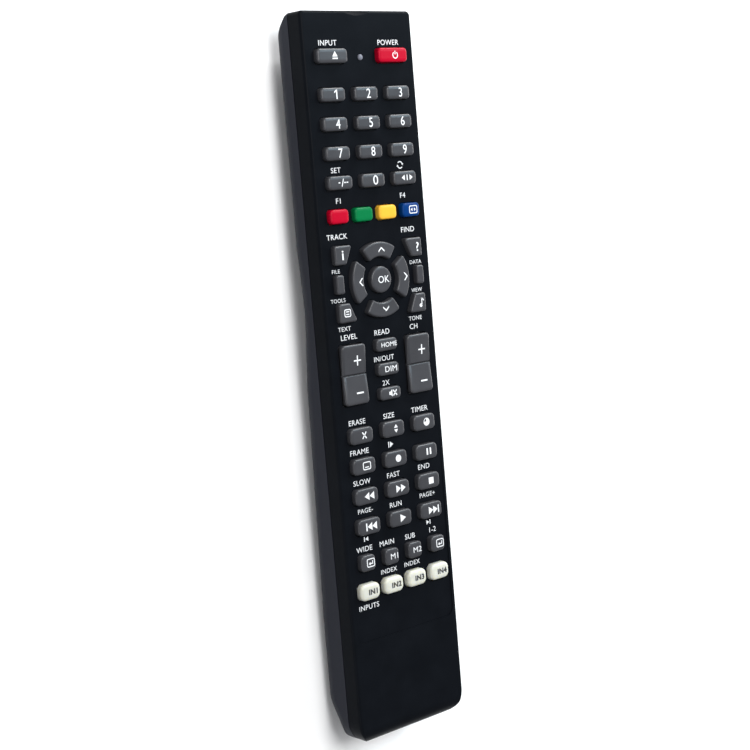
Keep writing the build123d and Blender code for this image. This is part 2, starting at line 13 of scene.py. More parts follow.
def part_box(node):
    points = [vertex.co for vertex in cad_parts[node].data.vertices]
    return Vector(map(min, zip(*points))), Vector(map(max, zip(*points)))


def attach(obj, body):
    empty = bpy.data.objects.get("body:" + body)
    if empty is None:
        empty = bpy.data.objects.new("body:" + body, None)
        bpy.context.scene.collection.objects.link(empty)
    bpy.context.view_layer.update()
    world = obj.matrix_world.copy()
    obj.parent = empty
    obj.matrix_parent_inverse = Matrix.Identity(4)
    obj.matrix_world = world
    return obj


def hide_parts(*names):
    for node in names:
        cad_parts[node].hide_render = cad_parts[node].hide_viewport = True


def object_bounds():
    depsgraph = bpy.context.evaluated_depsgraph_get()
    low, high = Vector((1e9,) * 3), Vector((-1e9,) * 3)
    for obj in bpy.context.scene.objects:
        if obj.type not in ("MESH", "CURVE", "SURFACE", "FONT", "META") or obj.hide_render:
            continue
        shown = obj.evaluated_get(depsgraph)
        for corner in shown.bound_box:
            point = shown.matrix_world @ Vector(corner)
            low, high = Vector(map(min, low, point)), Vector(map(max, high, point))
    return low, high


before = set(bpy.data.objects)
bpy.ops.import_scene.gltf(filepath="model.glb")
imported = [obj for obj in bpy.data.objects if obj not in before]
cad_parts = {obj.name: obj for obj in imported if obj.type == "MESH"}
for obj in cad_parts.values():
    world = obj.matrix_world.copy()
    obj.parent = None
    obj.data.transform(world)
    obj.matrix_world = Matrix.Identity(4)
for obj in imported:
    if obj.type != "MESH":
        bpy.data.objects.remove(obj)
cad_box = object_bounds()
mm = 0.001

# Body, as in the part
face_height = 18.2
dip_depth = 0.35  # of the sunken key panel, at its lower end
crease_share = 0.1465  # where that end is, as a share of the body's length from the tail
dip_end_share = 0.46  # and where the panel has risen to the face again
tail_end, head_end = cad_box[0][1] / mm, cad_box[1][1] / mm
crease = tail_end + crease_share * (head_end - tail_end)
dip_end = tail_end + dip_end_share * (head_end - tail_end)

# Keys
skirt_reach = 0.6  # how far the skirt under the face stands out round its cap
skirt_thickness = 0.4
key_edge = 0.6  # radius of the rim round a cap
source_edge = 0.95  # and of the cream caps' fuller rim
key_crown = 0.06
key_shoulder = 0.5  # how far inside the rim the crown ends
crown_share = 0.75  # of the crown's height, reached halfway over the shoulder
flat_ring = 0.08  # a level ring round the top, so that the rim's smooth shading stops there
arc_steps = 6  # in a rounded corner or rim
slight_bend = radians(20)  # less than this is a step of a drawn arc and isn't rounded
sharp_bend = radians(35)  # more than this shades as an edge
widest_mitre = 0.3  # limits how far a sharp corner moves when its loop grows
round_corner = 1.3
play_corner = 1.5
source_corner = 1.9
small_corner = 0.7
arrow_inner_radius = 7.3
arrow_outer_radius = 12.0
arrow_half_angle = radians(35)
arrow_steps = 16
arrow_clearance = 1.6 * small_corner  # between an arrow key's corner and the first point of its arc
corner_key_wide = 7.1
corner_key_narrow = 4.4
rocker_valley = 0.7
rocker_slit_width = 0.35
rocker_slit_depth = 0.9
slit_edge_share = 0.25  # of the rim's radius, on the side of the slit

# Lettering
print_clearance = 0.03  # caps end this far under the CAD key's top, which leaves room for their prints
print_rise = 0.015  # of a print over what it lies on
print_root = 0.1  # and how deep it starts under that
legend_shift = 0.8  # legends lie to the right of their caps' middles
right_legend_shift = 0.3  # less so on the corner keys at the right
rocker_mark_shift = 1.5 * legend_shift
chevron_inset = 0.35  # chevrons lie nearer the ring's centre than the middles of their keys
caption_shift = -0.3  # words on the face lie to the left of those middles
digit_height = 2.9
word_height = 1.8
caption_height = 1.65
small_caption_height = 1.2
font_size_share = 1.4  # the font's size for capitals of about one unit
letter_spacing = 1.05
digit_bold = 0.003  # how far letters grow all round, as a share of their height
mark_bold = 0.014
source_bold = 0.055
caption_stretch = 1.06  # how much wider than the font's they are
mark_stretch = 1.2
zero_stretch = 1.1
digit_squeeze = 0.9
word_stretch = 1.12
plate_weld = 0.001  # points nearer than this become one
thin_stroke = 0.32
frame_stroke = 0.3
frame_corner = 0.6
frame_inner_corner = 0.35
band_steps = 24
circle_steps = 48

# Cells and contacts
cell_radius = 5.25
cell_length = 44.5
nub_radius = 1.9
nub_length = 1.2
jacket_thickness = 0.08
contact_thickness = 0.4
contact_width = 9.0
tab_half_width = 1
spring_length = 4.6
spring_radius = 2.6
spring_tip_radius = 1.9
spring_turns = 5
spring_turn_steps = 24
wire_radius = 0.28
bump_height = 0.4
bump_radius = 2.0
cell_pitch = 11.0

# The indicator's lamp, and forms turned about a line
indicator_radius = 0.95
indicator_dome = 0.6
turned_steps = 40
dome_steps = 8
tip_radius = 0.02  # a dome ends in a tiny face and not in a point
solid_weld = 0.002


# Materials

noise_middle = 0.3, 0.7  # nearly all of a noise lies between these
patch_size = 9.0
patch_gloss = 0.9, 1.05  # shares of the roughness, from patch to patch
grain_gloss = 0.03  # what the grain adds to the roughness or takes away


def surface(name, colour, roughness, grain=0.35, grain_depth=0.012, tint=0.12, **inputs):
    """A moulded or metal finish: fine grain in bump and roughness, broad patches in colour and gloss."""
    material = bpy.data.materials.new(name)
    material.use_nodes = True
    nodes, links = material.node_tree.nodes, material.node_tree.links
    shader = nodes["Principled BSDF"]
    place = nodes.new("ShaderNodeTexCoord")

    def noise(size, detail):
        texture = nodes.new("ShaderNodeTexNoise")
        texture.inputs["Scale"].default_value = 1 / (size * mm)
        texture.inputs["Detail"].default_value = detail
        links.new(place.outputs["Object"], texture.inputs["Vector"])
        return texture.outputs["Fac"]

    def spread(source, low, high):
        """The noise's useful middle, stretched between two values."""
        ranged = nodes.new("ShaderNodeMapRange")
        limits = (*noise_middle, low, high)
        for socket, value in zip(("From Min", "From Max", "To Min", "To Max"), limits):
            ranged.inputs[socket].default_value = value
        links.new(source, ranged.inputs["Value"])
        return ranged.outputs["Result"]

    fine = noise(grain, 4)
    broad = noise(patch_size, 3)
    mixed = nodes.new("ShaderNodeMix")
    mixed.data_type = "RGBA"
    mixed.inputs["A"].default_value = [channel * (1 - tint) for channel in colour] + [1]
    mixed.inputs["B"].default_value = [channel * (1 + tint) for channel in colour] + [1]
    links.new(spread(broad, 0, 1), mixed.inputs["Factor"])
    links.new(mixed.outputs["Result"], shader.inputs["Base Color"])
    gloss = nodes.new("ShaderNodeMath")
    gloss.operation = "ADD"
    links.new(spread(broad, *(roughness * share for share in patch_gloss)), gloss.inputs[0])
    links.new(spread(fine, -grain_gloss, grain_gloss), gloss.inputs[1])
    links.new(gloss.outputs["Value"], shader.inputs["Roughness"])
    bump = nodes.new("ShaderNodeBump")
    bump.inputs["Strength"].default_value = 1
    bump.inputs["Distance"].default_value = grain_depth * mm
    links.new(fine, bump.inputs["Height"])
    links.new(bump.outputs["Normal"], shader.inputs["Normal"])
    for socket, value in inputs.items():
        shader.inputs[socket.replace("_", " ")].default_value = value
    return material


def rubber(name, colour, sheen=0.3, **inputs):
    return surface(
        name, colour, 0.32, grain=0.22, grain_depth=0.01, tint=0.06, Specular_IOR_Level=sheen, **inputs
    )


# By the record's slots
finishes = {
    "shell_black": surface(
        "shell_black", (0.0044, 0.0053, 0.0071), 0.34, grain=0.2, grain_depth=0.004, Specular_IOR_Level=0.02
    ),
    "shell_charcoal": surface(
        "shell_charcoal", (0.0112, 0.0127, 0.0195), 0.48, grain=0.3, grain_depth=0.016, tint=0.05,
        Specular_IOR_Level=0.1
    ),
    "silicone_grey": rubber("silicone_grey", (0.32, 0.33, 0.35)),
    "board_green": surface("board_green", (0.012, 0.09, 0.035), 0.3),
    "cell_jacket": surface("cell_jacket", (0.03, 0.07, 0.17), 0.3),
    "key_grey": rubber("key_grey", (0.038, 0.0385, 0.043)),
    "key_crimson": rubber("key_crimson", (0.385, 0.001, 0.017), sheen=0.09),
    "key_green": rubber("key_green", (0.001, 0.136, 0.04), sheen=0.07),
    "key_yellow": rubber("key_yellow", (0.7, 0.37, 0.034), sheen=0.09),
    "key_blue": rubber("key_blue", (0.001, 0.031, 0.145), sheen=0.07),
    "key_cream": rubber(
        "key_cream", (0.53, 0.53, 0.465), Subsurface_Weight=0.6, Subsurface_Radius=(1, 0.9, 0.6),
        Subsurface_Scale=1.2 * mm
    ),
}
# Prints, and what the board carries
print_white = surface("print_white", (0.68, 0.69, 0.7), 0.5, tint=0.03)
print_black = surface("print_black", (0.02, 0.02, 0.02), 0.5)
steel = surface("steel", (0.6, 0.6, 0.58), 0.3, grain=0.1, grain_depth=0.004, Metallic=1)
chip_black = surface("chip_black", (0.02, 0.02, 0.022), 0.6)
resonator_blue = surface("resonator_blue", (0.04, 0.1, 0.3), 0.4)
smoke_lens = surface("smoke_lens", (0.02, 0.012, 0.03), 0.08, grain_depth=0.001, Coat_Weight=1.0)
lamp_lens = surface("lamp_lens", (0.145, 0.152, 0.186), 0.5, grain_depth=0.002, Specular_IOR_Level=0.25)


# Meshes: every one is closed, and drawn in mm


def placed(name, data):
    """A new object in the scene."""
    thing = bpy.data.objects.new(name, data)
    bpy.context.scene.collection.objects.link(thing)
    return thing


def mesh_object(name, points, faces, material):
    mesh = bpy.data.meshes.new(name)
    mesh.from_pydata([[value * mm for value in point] for point in points], [], faces)
    mesh.materials.append(material)
    mesh.shade_smooth()
    mesh.set_sharp_from_angle(angle=sharp_bend)
    return placed(name, mesh)


def stacked(loops, first=0):
    """Points and faces of a closed solid through loops with the same count of points, capped at both ends."""
    count = len(loops[0])
    points = [point for loop in loops for point in loop]
    faces = []
    for level in range(len(loops) - 1):
        low = first + level * count
        for here in range(count):
            there = (here + 1) % count
            faces.append((low + here, low + there, low + count + there, low + count + here))
    top = first + len(points) - count
    faces.append(tuple(range(first + count - 1, first - 1, -1)))
    faces.append(tuple(range(top, top + count)))
    return points, faces


def rounded(corners, radius):
    """A closed loop with every corner rounded; bends of a few degrees stay, as on a drawn arc."""
    loop = []
    for here, corner in enumerate(corners):
        before, after = Vector(corners[here - 1]), Vector(corners[(here + 1) % len(corners)])
        corner = Vector(corner)
        into, out = (corner - before).normalized(), (after - corner).normalized()
        turn = atan2(into.x * out.y - into.y * out.x, into.dot(out))
        if abs(turn) < slight_bend:
            loop.append(tuple(corner))
            continue
        reach = radius * tan(abs(turn) / 2)
        side = 1 if turn > 0 else -1
        start = corner - into * reach
        middle = start + Vector((-into.y, into.x)) * radius * side
        for step in range(arc_steps + 1):
            swing = Matrix.Rotation(turn * step / arc_steps, 2)
            loop.append(tuple(middle + swing @ (start - middle)))
    return loop


def grown(loop, amount):
    """The loop moved outwards by an amount, or inwards by a negative one."""
    result = []
    for here, point in enumerate(loop):
        before, after = Vector(loop[here - 1]), Vector(loop[(here + 1) % len(loop)])
        point = Vector(point)
        into, out = (point - before).normalized(), (after - point).normalized()
        normal = Vector((into.y + out.y, -into.x - out.x)).normalized()
        mitre = max(normal.dot(Vector((out.y, -out.x))), widest_mitre)
        result.append(tuple(point + normal * amount / mitre))
    return result


def moved(loop, x, y):
    return [(x + across, y + up) for across, up in loop]


def rectangle(width, height, x=0, y=0):
    across, up = width / 2, height / 2
    return [(x - across, y - up), (x + across, y - up), (x + across, y + up), (x - across, y + up)]


def arc(radius, start, end, steps):
    angles = [start + (end - start) * step / steps for step in range(steps + 1)]
    return [(radius * cos(angle), radius * sin(angle)) for angle in angles]


def circle(radius, x=0, y=0):
    return moved(arc(radius, 0, 2 * pi, circle_steps)[:-1], x, y)


def band(radius, width, start, end, x=0, y=0):
    """An arc of a ring, as one closed loop."""
    outer = arc(radius + width / 2, start, end, band_steps)
    inner = arc(radius - width / 2, end, start, band_steps)
    return moved(outer + inner, x, y)


def face_level(y):
    """How high the face lies at a place along the body."""
    if y > dip_end or y < crease:
        return face_height
    return face_height - dip_depth * (dip_end - y) / (dip_end - crease)


# Keys


def node_box(node):
    low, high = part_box(node)
    return low / mm, high / mm


def cap_levels(key_top, edge=key_edge, shoulder=True):
    """How a cap closes in over its rim and shoulder: steps inwards, with their heights."""
    rim = key_top - print_clearance - (key_crown if shoulder else 0)
    levels = []
    for step in range(arc_steps + 1):
        angle = pi / 2 * step / arc_steps
        levels.append((edge * (1 - cos(angle)), rim - edge * (1 - sin(angle))))
    if shoulder:
        levels.append((edge + key_shoulder / 2, rim + key_crown * crown_share))
        levels.append((edge + key_shoulder, rim + key_crown))
    inset, z = levels[-1]
    levels.append((inset + flat_ring, z))
    return levels


def key_piece(node, loop, slot, shoulder):
    """A cap with a rounded rim that stands on its skirt, in place of the node."""
    low, high = node_box(node)
    foot = low.z
    levels = cap_levels(high.z, source_edge if slot == "key_cream" else key_edge, shoulder)
    loops = [[(x, y, z) for x, y in grown(loop, skirt_reach)] for z in (foot, foot + skirt_thickness)]
    loops.append([(x, y, foot + skirt_thickness) for x, y in loop])
    for inset, z in levels:
        loops.append([(x, y, z) for x, y in grown(loop, -inset)])
    piece = mesh_object(node + "_rubber", *stacked(loops), finishes[slot])
    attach(piece, node + "_cap")
    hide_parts(node)


ok_low, ok_high = node_box("key_ok")
ring_centre = (ok_low.y + ok_high.y) / 2
ok_radius = (ok_high.x - ok_low.x) / 2 - skirt_reach
arrows = {"key_right": 0, "key_up": 1, "key_left": 2, "key_down": 3}
corner_keys = {"key_info": (-1, 1), "key_help": (1, 1), "key_page": (-1, -1), "key_tone": (1, -1)}
coloured = {
    "key_power": "key_crimson", "key_red": "key_crimson", "key_green": "key_green",
    "key_yellow": "key_yellow", "key_blue": "key_blue",
}
play_keys = (
    "key_clear", "key_size", "key_timer", "key_frame", "key_record", "key_pause",
    "key_rewind", "key_forward", "key_stop", "key_previous", "key_play", "key_next",
)


def key_centre(node):
    """The middle of a key's cap, where its legend goes."""
    low, high = node_box(node)
    return (low.x + high.x) / 2, (low.y + high.y) / 2


def key_loop(node):
    """The outline of a key's cap, without its skirt."""
    low, high = node_box(node)
    x, y = key_centre(node)
    if node in arrows:
        turn = arrows[node] * pi / 2
        loop = []
        for radius, way in ((arrow_outer_radius, 1), (arrow_inner_radius, -1)):
            start, end = turn - way * arrow_half_angle, turn + way * arrow_half_angle
            clear = way * arrow_clearance / radius
            run = arc(radius, start + clear, end - clear, arrow_steps)
            loop += [arc(radius, start, start, 1)[0]] + run + [arc(radius, end, end, 1)[0]]
        return rounded(moved(loop, 0, ring_centre), small_corner)
    if node in corner_keys:
        side, end = corner_keys[node]
        outer = high.x - skirt_reach if side > 0 else -low.x - skirt_reach
        half = (high.y - low.y) / 2 - skirt_reach
        corners = [
            (side * outer, end * half),
            (side * (outer - corner_key_wide), end * half),
            (side * (outer - corner_key_narrow), -end * half),
            (side * outer, -end * half),
        ]
        if side * end < 0:
            corners.reverse()
        return rounded(moved(corners, 0, y), small_corner)
    if node == "key_ok":
        return circle(ok_radius, 0, ring_centre)
    width, height = high.x - low.x - 2 * skirt_reach, high.y - low.y - 2 * skirt_reach
    radius = round_corner
    if node in play_keys:
        radius = play_corner
    if node.startswith("key_source"):
        radius = source_corner
    if node.startswith("key_side"):
        radius = small_corner
    return rounded(rectangle(width, height, x, y), radius)


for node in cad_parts:
    if node.startswith("key_"):
        slot = "key_cream" if node.startswith("key_source") else coloured.get(node, "key_grey")
        narrow = node in arrows or node in corner_keys or node.startswith("key_side")
        key_piece(node, key_loop(node), slot, shoulder=not narrow)


def rocker_piece(node):
    """Two pads that slope down to a slit, on one block."""
    low, high = node_box(node)
    x, middle = key_centre(node)
    width, half = high.x - low.x, (high.y - low.y) / 2
    pad_length = half - rocker_slit_width / 2
    slit_floor = high.z - rocker_valley - rocker_slit_depth
    outline = rounded(rectangle(width, 2 * half, x, middle), round_corner)
    points, faces = stacked([[(across, up, z) for across, up in outline] for z in (low.z, slit_floor)])
    for end in (-1, 1):
        slit_edge = middle + end * rocker_slit_width / 2
        far_edge = middle + end * half
        # The outline starts at its left lower corner, so each half of it is one pad's outer end
        half_count = len(outline) // 2
        outer = outline[:half_count] if end < 0 else outline[half_count:]
        loop = outer + [(outer[-1][0], slit_edge), (outer[0][0], slit_edge)]
        levels = [(0, slit_floor - skirt_thickness)] + cap_levels(high.z)
        loops = []
        for inset, z in levels:
            ring = []
            stretch = (pad_length - (1 + slit_edge_share) * inset) / (pad_length - 2 * inset)
            for across, up in grown(loop, -inset):
                up = far_edge - end * inset - (far_edge - end * inset - up) * stretch
                sunk = rocker_valley * (1 - min(abs(up - middle) / half, 1))
                ring.append((across, up, z - sunk if z > slit_floor else z))
            loops.append(ring)
        more_points, more_faces = stacked(loops, first=len(points))
        points += more_points
        faces += more_faces
    piece = mesh_object(node + "_rubber", points, faces, finishes["key_grey"])
    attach(piece, node + "_cap")
    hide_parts(node)


rocker_piece("rocker_volume")
rocker_piece("rocker_channel")


# Printing: thin closed plates, cut from drawn loops or from letters


def curve_mesh(curve):
    """The mesh that a curve makes."""
    holder = placed(curve.name, curve)
    bpy.context.view_layer.update()
    mesh = bpy.data.meshes.new_from_object(holder.evaluated_get(bpy.context.evaluated_depsgraph_get()))
    bpy.data.objects.remove(holder)
    return mesh


def plate_mesh(curve):
    """The mesh of a filled flat curve, welded into closed plates; lay_print sets their real thickness."""
    curve.extrude = 0.5
    mesh = curve_mesh(curve)
    shape = bmesh.new()
    shape.from_mesh(mesh)
    bmesh.ops.remove_doubles(shape, verts=shape.verts, dist=plate_weld)
    shape.to_mesh(mesh)
    shape.free()
    return mesh


def loops_mesh(name, loops):
    curve = bpy.data.curves.new(name, "CURVE")
    curve.dimensions = "2D"
    curve.fill_mode = "BOTH"
    for loop in loops:
        spline = curve.splines.new("POLY")
        spline.points.add(len(loop) - 1)
        for point, (x, y) in zip(spline.points, loop):
            point.co = (x, y, 0, 1)
        spline.use_cyclic_u = True
    return plate_mesh(curve)


def letters_mesh(name, text, height, bold, stretch):
    """Letters of one height, centred, in mm."""
    curve = bpy.data.curves.new(name, "FONT")
    curve.body = text
    curve.size = font_size_share * height
    curve.offset = bold * height
    curve.resolution_u = 6
    curve.space_character = letter_spacing
    mesh = plate_mesh(curve)
    xs = [vertex.co.x for vertex in mesh.vertices]
    ys = [vertex.co.y for vertex in mesh.vertices]
    scale = height / (max(ys) - min(ys))
    centre_x, centre_y = (max(xs) + min(xs)) / 2, (max(ys) + min(ys)) / 2
    for vertex in mesh.vertices:
        vertex.co.x = (vertex.co.x - centre_x) * scale * stretch
        vertex.co.y = (vertex.co.y - centre_y) * scale
    return mesh


def lay_print(name, mesh, body, x, y, level, material=print_white):
    """Sets a plate on the surface whose height level(x, y) gives, with its root just inside it."""
    for vertex in mesh.vertices:
        across, up = x + vertex.co.x, y + vertex.co.y
        rise = print_rise if vertex.co.z > 0 else -print_root
        vertex.co = (across * mm, up * mm, (level(across, up) + rise) * mm)
    mesh.materials.clear()
    mesh.materials.append(material)
    piece = placed(name, mesh)
    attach(piece, body)


# Symbols, drawn round their own middle


def triangle(width, height, x=0, direction=1):
    back, tip = x - direction * width / 2, x + direction * width / 2
    return [(back, -height / 2), (tip, 0), (back, height / 2)]


def line(start, end, width):
    start, end = Vector(start), Vector(end)
    along = (end - start).normalized() * width / 2
    side = Vector((-along.y, along.x))
    return [tuple(start - side), tuple(end - side), tuple(end + side), tuple(start + side)]


def chevron(turn):
    """An open arrow head pointing to the right, then turned by quarters."""
    points = [(-0.7, -1.25), (-0.2, -1.25), (0.95, 0), (-0.2, 1.25), (-0.7, 1.25), (0.42, 0)]
    swing = Matrix.Rotation(turn * pi / 2, 2)
    return [[tuple(swing @ Vector(point)) for point in points]]


def framed(width, height, inside):
    """A rounded frame round some loops."""
    opening = rectangle(width - 2 * frame_stroke, height - 2 * frame_stroke)
    return [rounded(rectangle(width, height), frame_corner), rounded(opening, frame_inner_corner)] + inside


def loop_arrows():
    parts = []
    for turn in (0, pi):
        parts.append(band(1.05, thin_stroke, turn + radians(25), turn + radians(140)))
        tip = Matrix.Rotation(turn, 2)
        parts.append([tuple(tip @ Vector(point)) for point in ((0.6, 0.45), (1.5, 0.45), (1.05, -0.15))])
    return parts


enter_arrow = [[
    (-0.9, -0.3), (-0.2, -0.85), (-0.2, -0.45), (0.85, -0.45), (0.85, 0.65), (0.55, 0.65), (0.55, -0.15),
    (-0.2, -0.15), (-0.2, 0.25),
]]
speaker = [[(-1.6, -0.5), (-1.0, -0.5), (-0.3, -1.2), (-0.3, 1.2), (-1.0, 0.5), (-1.6, 0.5)]]
symbols = {
    "key_eject": [[(-1.05, -0.3), (1.05, -0.3), (0, 1.35)], rectangle(2.1, 0.42, 0, -0.85)],
    "key_power": [
        band(1.0, thin_stroke, radians(125), radians(415), 0, -0.1), rectangle(thin_stroke, 1.1, 0, 0.65),
    ],
    "key_dash": [
        rectangle(0.7, 0.34, -1.5), line((-0.55, -1.2), (0.25, 1.2), thin_stroke),
        rectangle(0.7, 0.34, 0.75), rectangle(0.7, 0.34, 1.7),
    ],
    "key_swap": [triangle(1.3, 1.8, -1.7, -1), rectangle(0.4, 1.8), triangle(1.3, 1.8, 1.7)],
    "key_blue": framed(3.5, 2.6, [triangle(0.7, 1.2, -0.7, -1), triangle(0.7, 1.2, 0.7)]),
    "key_page": framed(2.7, 2.5, [rectangle(1.3, 0.3, 0, 0.42), rectangle(1.3, 0.3, 0, -0.38)]),
    "key_tone": [circle(0.6, -0.45, -1.0), rectangle(0.35, 2.4, 0.0, 0.2), line((0.0, 1.3), (0.9, 0.5), 0.4)],
    "key_clear": [line((-0.8, -1.05), (0.8, 1.05), 0.38), line((-0.8, 1.05), (0.8, -1.05), 0.38)],
    "key_size": [[(-0.8, 0.25), (0.8, 0.25), (0, 1.35)], [(-0.8, -0.25), (0, -1.35), (0.8, -0.25)]],
    "key_timer": [circle(1.28), [(-0.1, 0.1), (-0.1, 1.05), (-0.6, 0.87), (-0.9, 0.55), (-1.05, 0.1)]],
    "key_frame": framed(3.3, 2.6, [rectangle(1.6, 0.3, 0, -0.45)]),
    "key_record": [circle(1.15)],
    "key_pause": [rectangle(0.65, 2.2, -0.7), rectangle(0.65, 2.2, 0.7)],
    "key_rewind": [triangle(1.9, 2.5, -1.05, -1), triangle(1.9, 2.5, 1.0, -1)],
    "key_forward": [triangle(1.9, 2.5, -1.0), triangle(1.9, 2.5, 1.05)],
    "key_stop": [rectangle(2.1, 2.1)],
    "key_previous": [rectangle(0.5, 2.5, -2.2), triangle(1.9, 2.5, -0.85, -1), triangle(1.9, 2.5, 1.1, -1)],
    "key_play": [triangle(2.3, 2.6)],
    "key_next": [triangle(1.9, 2.5, -1.1), triangle(1.9, 2.5, 0.85), rectangle(0.5, 2.5, 2.2)],
    "key_select_1": framed(3.3, 2.8, enter_arrow),
    "key_select_4": framed(3.3, 2.8, enter_arrow),
    "key_mute": speaker + [line((0.1, -0.9), (1.6, 0.9), 0.4), line((0.1, 0.9), (1.6, -0.9), 0.4)],
}
symbols["key_1"] = [[
    (0.2, -1.45), (0.2, 0.85), (-0.55, 0.4), (-0.55, 0.85), (0.3, 1.45), (0.65, 1.45), (0.65, -1.45),
]]
for node, turn in arrows.items():
    symbols[node] = chevron(turn)
# Words with their heights
words = {
    "key_ok": ("OK", 2.2), "key_menu": ("HOME", 1.45), "key_saver": ("DIM", word_height),
    "key_select_2": ("M1", word_height), "key_select_3": ("M2", word_height),
    "key_source_1": ("IN1", word_height), "key_source_2": ("IN2", word_height),
    "key_source_3": ("IN3", word_height), "key_source_4": ("IN4", word_height),
    "key_info": ("i", digit_height), "key_help": ("?", digit_height),
}
for digit in (0, 2, 3, 4, 5, 6, 7, 8, 9):
    words[f"key_{digit}"] = (str(digit), digit_height)


def legend_place(node):
    """Where a legend's middle goes."""
    x, y = key_centre(node)
    if node in arrows:
        turn = arrows[node] * pi / 2
        middle = (arrow_inner_radius + arrow_outer_radius) / 2 - chevron_inset
        x, y = middle * cos(turn), ring_centre + middle * sin(turn)
    if node in corner_keys:
        side = corner_keys[node][0]
        low, high = node_box(node)
        edge = high.x if side > 0 else low.x
        x = edge - side * (skirt_reach + corner_key_narrow / 2)
        if side > 0:
            return x + right_legend_shift, y
    return x + legend_shift, y


def key_face(node):
    top = node_box(node)[1].z - print_clearance
    return lambda x, y: top


def letter_shape(node, text):
    """How bold a key's letters are, and how much wider than drawn."""
    if node in corner_keys:
        return mark_bold, mark_stretch
    if node == "key_ok":
        return digit_bold, 1.0
    if node == "key_0":
        return digit_bold, zero_stretch
    if node.startswith("key_source"):
        return source_bold, word_stretch
    return digit_bold, digit_squeeze if len(text) == 1 else word_stretch


for node, loops in symbols.items():
    lay_print(node + "_mark", loops_mesh(node, loops), node + "_cap", *legend_place(node), key_face(node))
for node, (text, height) in words.items():
    material = print_black if node.startswith("key_source") else print_white
    mesh = letters_mesh(node, text, height, *letter_shape(node, text))
    lay_print(node + "_mark", mesh, node + "_cap", *legend_place(node), key_face(node), material)


def rocker_face(node):
    low, high = node_box(node)
    middle, half = (low.y + high.y) / 2, (high.y - low.y) / 2
    top = high.z - print_clearance
    return lambda x, y: top - rocker_valley * (1 - abs(y - middle) / half)


plus = [[
    (-1.45, -0.22), (-0.22, -0.22), (-0.22, -1.6), (0.22, -1.6), (0.22, -0.22), (1.45, -0.22),
    (1.45, 0.22), (0.22, 0.22), (0.22, 1.6), (-0.22, 1.6), (-0.22, 0.22), (-1.45, 0.22),
]]
minus = [rectangle(2.8, 0.5)]
# With their places, as shares of half a rocker's length
rocker_marks = (("plus", plus, 0.46), ("minus", minus, -0.62))
for node in ("rocker_volume", "rocker_channel"):
    x, y = key_centre(node)
    half = (node_box(node)[1].y - node_box(node)[0].y) / 2
    for name, loops, share in rocker_marks:
        place = x + rocker_mark_shift, y + share * half
        lay_print(f"{node}_{name}", loops_mesh(name, loops), node + "_cap", *place, rocker_face(node))

# Words on the face: their key, whether they stand over it (1) or under it (-1), the step from the cap's edge
# to their middle, and their height
play_step = 1.9
captions = (
    ("key_eject", "INPUT", 1, 1.8, caption_height),
    ("key_power", "POWER", 1, 1.8, caption_height),
    ("key_dash", "SET", 1, 1.8, caption_height),
    ("key_red", "F1", 1, 2.6, caption_height),
    ("key_blue", "F4", 1, 2.6, caption_height),
    ("key_info", "TRACK", 1, 2.8, caption_height),
    ("key_help", "FIND", 1, 2.8, caption_height),
    ("key_side_left", "FILE", 1, 1.1, small_caption_height),
    ("key_side_right", "DATA", 1, 1.1, small_caption_height),
    ("key_page", "TOOLS", 1, 1.0, small_caption_height),
    ("key_tone", "VIEW", 1, 1.0, small_caption_height),
    ("key_page", "TEXT", -1, 2.0, 1.35),
    ("key_tone", "TONE", -1, 2.0, 1.35),
    ("rocker_volume", "LEVEL", 1, 2.4, caption_height),
    ("rocker_channel", "CH", 1, 2.5, caption_height),
    ("key_menu", "READ", 1, 2.0, caption_height),
    ("key_saver", "IN/OUT", 1, 1.4, 1.6),
    ("key_mute", "2X", 1, 1.35, 1.6),
    ("key_clear", "ERASE", 1, 1.7, caption_height),
    ("key_size", "SIZE", 1, 1.7, caption_height),
    ("key_timer", "TIMER", 1, 1.8, caption_height),
    ("key_frame", "FRAME", 1, play_step, caption_height),
    ("key_rewind", "SLOW", 1, play_step, caption_height),
    ("key_forward", "FAST", 1, play_step, caption_height),
    ("key_stop", "END", 1, play_step + 0.3, caption_height),
    ("key_previous", "PAGE-", 1, play_step + 0.5, 1.5),
    ("key_play", "RUN", 1, play_step, caption_height),
    ("key_next", "PAGE+", 1, play_step + 0.6, 1.5),
    ("key_select_1", "WIDE", 1, 1.7, caption_height),
    ("key_select_2", "MAIN", 1, 1.8, caption_height),
    ("key_select_3", "SUB", 1, 1.8, caption_height),
    ("key_select_4", "1-2", 1, 2.0, caption_height),
    ("key_select_2", "INDEX", -1, 2.2, 1.45),
    ("key_select_3", "INDEX", -1, 2.0, 1.45),
    ("key_source_1", "INPUTS", -1, 2.5, caption_height),
)
# How far to the right of their keys' middles some of them lie
nudges = {
    "F1": 1.5, "F4": -1.4, "TRACK": -0.7, "TOOLS": -2.4, "TEXT": -0.8, "VIEW": 1.9, "TONE": 0.3,
    "PAGE-": 0.5, "PAGE+": 0.6, "WIDE": 0.5, "INPUTS": 0.6,
}
# Symbols on the face, placed like the words
small_marks = (
    ("key_swap", 1, 2.0, loop_arrows()),
    ("key_record", 1, 2.1, [rectangle(0.35, 1.9, -1.0), triangle(1.4, 1.9, 0.25)]),
    ("key_previous", -1, 1.65, [rectangle(0.35, 1.5, -0.9), triangle(1.2, 1.5, 0.1, -1)]),
    ("key_next", -1, 1.65, [triangle(1.2, 1.5, -0.1), rectangle(0.35, 1.5, 0.9)]),
)


def printed_edge(node, end):
    """The middle of a cap's upper or lower edge."""
    low, high = node_box(node)
    reach = 0 if node.startswith("rocker") else skirt_reach
    return (low.x + high.x) / 2, high.y - reach if end > 0 else low.y + reach


def caption(name, mesh, x, y):
    lay_print(name, mesh, "case", x + caption_shift, y, lambda across, up: face_level(up))


